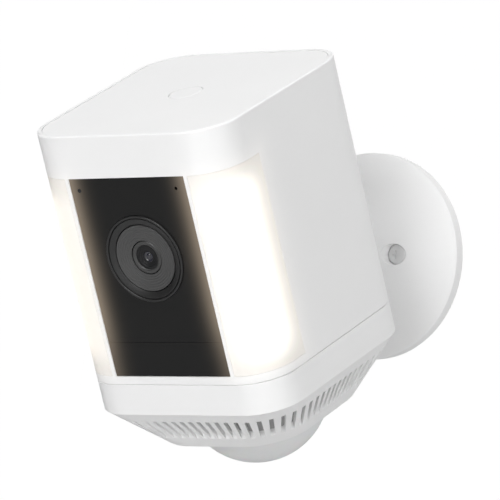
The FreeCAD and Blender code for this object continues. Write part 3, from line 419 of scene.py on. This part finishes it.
# ---- Dust mesh -----------------------------------------------------------------------------
# Grey polyester cloth, plain woven of fine threads and stretched behind the slots to keep insects out.
# Its threads are some 0.1 mm thick; they are drawn at 0.5 mm so that the weave shows.
THREAD = 0.0005
THREAD_SCALE = math.tau / THREAD / 20         # the Wave node turns 20 radians in each unit of its scale

mesh_cloth, tree, shader = finish("grey woven polyester mesh", "#bcbcbc", 0.85)
place = add(tree, "ShaderNodeTexCoord").outputs["Object"]
grained(tree, shader, place, 0.85, 0.35)
warp = add(tree, "ShaderNodeTexWave", {"bands_direction": "X", "Scale": THREAD_SCALE}, {"Vector": place})
weft = add(tree, "ShaderNodeTexWave", {"bands_direction": "Y", "Scale": THREAD_SCALE}, {"Vector": place})
weave = add(tree, "ShaderNodeMath", {"operation": "MULTIPLY"},
            {0: warp.outputs["Fac"], 1: weft.outputs["Fac"]})
height = add(tree, "ShaderNodeBump", {"Strength": 0.5, "Distance": 0.0002},
             {"Height": weave.outputs["Value"]})
threads = add(tree, "ShaderNodeMix", {"data_type": "RGBA", 6: linear("#a8a8a8"), 7: linear("#d0d0d0")},
              {0: weave.outputs["Value"]})
tree.links.new(threads.outputs[2], shader.inputs["Base Color"])
tree.links.new(height.outputs["Normal"], shader.inputs["Normal"])
dress(mesh_cloth, "slot_mesh")


# ---- Inner plastics ------------------------------------------------------------------------
# Unpainted ABS, moulded and screwed or clipped inside: black for the chassis, lens housing, speaker
# box, latch, jack and socket cup, and grey for the bulkhead, battery bay, bracket and ball liner.
black_abs = moulded("moulded black ABS", "#262626", "#1f1f1f", 0.5, 0.5, 0.15, IOR=1.54)[0]
dress(black_abs, "lens_spacer", "camera_module_body", "ir_cut_filter", "front_chassis", "speaker_box",
      "battery_release_tab", "socket_cup", "battery_contacts", "power_jack")
grey_abs = moulded("moulded grey ABS", "#9b9da0", "#8f9194", 0.5, 0.5, 0.15, IOR=1.54)[0]
dress(grey_abs, "bulkhead", "battery_bay", "sensor_bracket", "socket_liner")


# ---- Speaker -------------------------------------------------------------------------------
# A pressed paper cone, dyed black: its matted fibres show as fine uneven streaks with no gloss.
# It is glued by its rim to the speaker box and moves a fraction of a millimetre.
cone_paper = moulded("dyed pressed paper", "#2e2c2a", "#1d1c1b", 0.92, 0.8, 0.6)[0]
dress(cone_paper, "speaker_cone")


# ---- Battery -------------------------------------------------------------------------------
# A slide-in pack of two cells in a matt black polycarbonate case, welded shut round its middle.
# Its gold-plated pads are pressed into the end that goes in first.
battery_case = moulded("matt black polycarbonate case", "#2a2b2d", "#232426", 0.6, 0.45, 0.2, IOR=1.58)[0]
dress(battery_case, "battery_pack")

gold, tree, shader = finish("gold plating", "#d8b060", 0.25, Metallic=1.0)
rub = add(tree, "ShaderNodeTexNoise", {"Scale": 1500.0, "Detail": 3.0},
          {"Vector": add(tree, "ShaderNodeTexCoord").outputs["Object"]})
gloss = add(tree, "ShaderNodeMapRange", {"To Min": 0.18, "To Max": 0.34}, {"Value": rub.outputs["Fac"]})
tree.links.new(gloss.outputs["Result"], shader.inputs["Roughness"])
dress(gold, "battery_pads")


# ---- Light trays and LEDs ------------------------------------------------------------------
# Glossy white ABS trays throw the light forward; each holds a strip board of surface-mounted LEDs
# whose yellow phosphor fills a small white cup.
tray_white = moulded("gloss white reflector ABS", "#f0f0f0", "#ececec", 0.25, 0.5, 0.05)[0]
dress(tray_white, "light_trays")
led_phosphor = moulded("yellow LED phosphor", "#f2d77a", "#e8c860", 0.4, 0.3, 0.05)[0]
dress(led_phosphor, "leds")


# ---- Circuit boards ------------------------------------------------------------------------
# Glass-epoxy boards under green solder mask, in which the copper tracks show as lighter lines about
# 0.3 mm wide with a slight step at their edges. The chips on them are moulded black epoxy.
TRACK_PITCH = 0.0012

solder_mask, tree, shader = finish("green solder mask", "#1c5a34", 0.35)
place = add(tree, "ShaderNodeTexCoord").outputs["Object"]
grained(tree, shader, place, 0.35, 0.8)
tracks = add(tree, "ShaderNodeTexBrick",
             {"Scale": 1 / TRACK_PITCH / 4, "Mortar Size": 0.03, "Mortar Smooth": 0.2, "Brick Width": 1.7,
              "Row Height": 0.25, "Color1": linear("#195230"), "Color2": linear("#1d5c37"),
              "Mortar": linear("#2c7a4a")}, {"Vector": place})
height = add(tree, "ShaderNodeBump", {"Strength": 0.3, "Distance": 0.00005},
             {"Height": tracks.outputs["Fac"]})
tree.links.new(tracks.outputs["Color"], shader.inputs["Base Color"])
tree.links.new(height.outputs["Normal"], shader.inputs["Normal"])
dress(solder_mask, "led_boards", "main_board", "sensor_board", "button_board", "sensor_board_lower")
epoxy = moulded("black epoxy package", "#1c1c1e", "#161618", 0.45, 0.3, 0.1)[0]
dress(epoxy, "image_sensor", "light_sensor", "main_board_chips", "setup_switch", "microphone")


# ---- Metal parts ---------------------------------------------------------------------------
# Turned and pressed steel under bright zinc: the ball arm, its nut and washer, the small screws,
# the radio shield, the antenna and the sensor cans. Fine tool marks make its gloss uneven.
TOOL_MARK = 0.0004        # real marks are finer and wouldn't show

steel, tree, shader = finish("zinc-plated steel", "#b9babc", 0.32, Metallic=1.0)
place = add(tree, "ShaderNodeTexCoord").outputs["Object"]
marks = add(tree, "ShaderNodeTexNoise", {"Scale": 1 / TOOL_MARK, "Detail": 3.0}, {"Vector": place})
cloud = add(tree, "ShaderNodeTexNoise", {"Scale": 60.0, "Detail": 2.0}, {"Vector": place})
gloss = add(tree, "ShaderNodeMapRange", {"To Min": 0.26, "To Max": 0.40}, {"Value": marks.outputs["Fac"]})
tone = add(tree, "ShaderNodeMix", {"data_type": "RGBA", 6: linear("#b0b1b4"), 7: linear("#c2c3c4")},
           {0: cloud.outputs["Fac"]})
height = add(tree, "ShaderNodeBump", {"Strength": 0.08, "Distance": 0.00005},
             {"Height": marks.outputs["Fac"]})
tree.links.new(gloss.outputs["Result"], shader.inputs["Roughness"])
tree.links.new(tone.outputs[2], shader.inputs["Base Color"])
tree.links.new(height.outputs["Normal"], shader.inputs["Normal"])
dress(steel, "ball_arm", "arm_washer", "arm_nut", "board_screws", "socket_screws", "radio_shield",
      "wifi_antenna", "motion_sensors")


# ---- Rubber parts --------------------------------------------------------------------------
# Grey silicone, moulded soft: the seals under the lid, behind the battery and at the wall, and the
# port's cap. It is matt and takes up a little dust, which mottles it.
rubber = moulded("grey silicone rubber", "#b4b4b4", "#a8a8a8", 0.7, 0.4, 0.1)[0]
dress(rubber, "lid_seal", "bulkhead_seal", "wall_gasket", "power_port_cap")


# ---- Wall bracket --------------------------------------------------------------------------
# A shallow hollow cone, injection moulded in satin white polycarbonate and held to the wall by four
# screws. Its white is painted a shade lighter than the head's, standing in for the extra light that falls on
# its face.
bracket_white_painted_lighter = moulded("satin white polycarbonate bracket painted lighter", "#fafafa", "#f6f6f6", 0.55, 0.5, 0.10,
                        IOR=1.58)[0]
dress(bracket_white_painted_lighter, "mount_base")


# ---- Wall screws ---------------------------------------------------------------------------
# White-painted pan-head steel screws, turned, with a rolled thread and a pressed cross recess.
# They sit in counterbores in the bracket's face and reach 24 mm into the wall.
CAD_HEAD = 3.7            # the head's radius in the CAD, which gives the circle that the screws stand on;
DRAWN_HEAD = 4.05         # the head is drawn a little wider than that, and its face further out
HEAD_OUTLINE = [(3.0, 0.0), (3.7, 0.2), (DRAWN_HEAD, 0.7)]   # radius, and depth behind the face
SCREW_SEAT = -13.7
SCREW_FACE = -16.5
NECK = 1.8
CORE = 1.45
SHANK = 2.0
THREAD_PITCH = 1.4
RIDGE = 0.3               # half of a ridge's width, as a share of the pitch
THREAD_END = 20.0
TIP = 24.0
TIP_OUTLINE = [(0.72 * SHANK, 21.5), (0.4 * SHANK, 22.9)]
RINGS = 84
SCREW_SIDES = 40
ARM_LONG, ARM_WIDE, ARM_DEEP = 3.6, 0.8, 0.4      # each bar of the cross recess


def cut_recess(screw):
    """Presses the cross into the head's face."""
    for turn in (0, 90):
        bpy.ops.object.select_all(action="DESELECT")
        bpy.ops.mesh.primitive_cube_add(size=1, location=(0, 0, SCREW_FACE * MM),
                                        rotation=(0, 0, math.radians(turn)))
        cutter = bpy.context.object
        cutter.scale = (ARM_LONG * MM, ARM_WIDE * MM, ARM_DEEP * 2 * MM)
        bpy.context.view_layer.objects.active = screw
        cut = screw.modifiers.new("cross recess", "BOOLEAN")
        cut.object = cutter
        cut.operation = "DIFFERENCE"
        bpy.ops.object.modifier_apply(modifier=cut.name)
        bpy.data.objects.remove(cutter)
    screw.select_set(True)


def roll_thread(screw):
    """Leaves a helical ridge on the shank, and takes it down to the core between the turns."""
    for vertex in screw.data.vertices:
        place = vertex.co
        if 0 < place.z < (TIP - 0.5) * MM:
            turn = (place.z / MM / THREAD_PITCH - math.atan2(place.y, place.x) / math.tau) % 1
            ridge = max(0.0, 1 - abs(turn - 0.5) / RIDGE)
            full = CORE / SHANK + (1 - CORE / SHANK) * ridge
            place.x *= full
            place.y *= full


def seat(screw, x, z):
    """Puts a screw at its place in the bracket."""
    screw.data.transform(Matrix.Translation((x, 0, z)))
    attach(screw, "wall_mount")
    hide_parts("mounting_screws")


screw_outline = [(POINT, SCREW_FACE)]
screw_outline += [(radius, SCREW_FACE + depth) for radius, depth in HEAD_OUTLINE]
screw_outline += [(DRAWN_HEAD, SCREW_SEAT), (NECK, SCREW_SEAT), (NECK, -0.2)]
screw_outline += [(SHANK, THREAD_END * ring / RINGS) for ring in range(RINGS + 1)]
screw_outline += TIP_OUTLINE + [(POINT, TIP)]

screw_paint = moulded("white painted steel", "#eeeeee", "#e8e8e8", 0.35, 0.4, 0.05)[0]
wall_screw = turned("wall_screw_right", screw_outline, SCREW_SIDES)
bpy.ops.object.transform_apply(location=True, rotation=True, scale=True)
roll_thread(wall_screw)
cut_recess(wall_screw)
bpy.ops.object.shade_smooth_by_angle(angle=math.radians(30))
wall_screw.data.materials.append(screw_paint)
settle(wall_screw, Vector((1, 0, 0)), Vector((0, 1, 0)), Vector((0, 0, 0)))

SCREW_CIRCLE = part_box("mounting_screws")[1].x - CAD_HEAD * MM
for word, x, z in (("top", 0, SCREW_CIRCLE), ("left", -SCREW_CIRCLE, 0), ("bottom", 0, -SCREW_CIRCLE)):
    copy = bpy.data.objects.new("wall_screw_" + word, wall_screw.data.copy())
    bpy.context.scene.collection.objects.link(copy)
    seat(copy, x, z)
seat(wall_screw, SCREW_CIRCLE, 0)


# ---- Studio --------------------------------------------------------------------------------
# A pale floor in a white room, with soft boxes in front, above, low down and at the right. The floor
# and the room are only seen; a bounce board under the object and a lit wall behind it do the lighting.
FLOOR_Z = -2.9            # so low that a view from well below still stands over it
BOARD_Z = -0.6
ROOM = 9.0                # within the reach of a view's camera, which sees 17 m at the most
WALL_Y = 7.0
SHEET = 16.0


def paint(surface, name, colour, strength):
    """Gives a studio surface its name and paint."""
    surface.name = name
    material, tree, shader = finish(name + " paint", colour, 0.9)
    if strength:
        shader.inputs["Base Color"].default_value = linear("#000000")
        shader.inputs["Emission Color"].default_value = linear(colour)
        shader.inputs["Emission Strength"].default_value = strength
    surface.data.materials.append(material)


def only_seen(surface):
    """Hides a surface from every ray but those of a view."""
    surface.visible_diffuse = False
    surface.visible_glossy = False
    surface.visible_transmission = False
    surface.visible_shadow = False


bpy.ops.object.select_all(action="DESELECT")
bpy.ops.mesh.primitive_plane_add(size=SHEET, location=(0, 0, BOARD_Z))
paint(bpy.context.object, "bounce_board", "#d8d8d8", 0.0)
bpy.context.object.visible_camera = False
bpy.ops.mesh.primitive_plane_add(size=1.4 * ROOM, location=(0, 0, FLOOR_Z))
paint(bpy.context.object, "floor", "#f0f0f0", 1.0)
only_seen(bpy.context.object)
bpy.ops.mesh.primitive_uv_sphere_add(radius=ROOM, location=(0, 0, 0))
paint(bpy.context.object, "room_shell", "#ffffff", 1.0)
only_seen(bpy.context.object)
bpy.ops.mesh.primitive_plane_add(size=SHEET, location=(0, WALL_Y, 0), rotation=(math.radians(90), 0, 0))
paint(bpy.context.object, "backdrop", "#ffffff", 1.0)

world = bpy.data.worlds.new("studio sky")
bpy.context.scene.world = world
world.use_nodes = True
world.node_tree.nodes["Background"].inputs["Color"].default_value = (1, 1, 1, 1)
world.node_tree.nodes["Background"].inputs["Strength"].default_value = 0.05


def softbox(name, place, size, power):
    """A square soft light, turned to the object."""
    light = bpy.data.lights.new(name, "AREA")
    light.shape = "SQUARE"
    light.size = size
    light.energy = power
    lamp = bpy.data.objects.new(name, light)
    lamp.location = place
    lamp.rotation_euler = (BALL - Vector(place)).to_track_quat("-Z", "Y").to_euler()
    bpy.context.scene.collection.objects.link(lamp)


softbox("front_softbox", (0.2, -2.6, 0.9), 1.6, 48.0)
softbox("low_softbox", (0.9, -2.4, -0.1), 0.8, 4.0)
softbox("top_softbox", (0.1, -0.3, 2.6), 2.0, 34.0)
softbox("right_softbox", (2.6, -0.6, 0.5), 1.6, 24.0)

bpy.context.scene.view_settings.view_transform = "Standard"
bpy.context.scene.view_settings.look = "None"
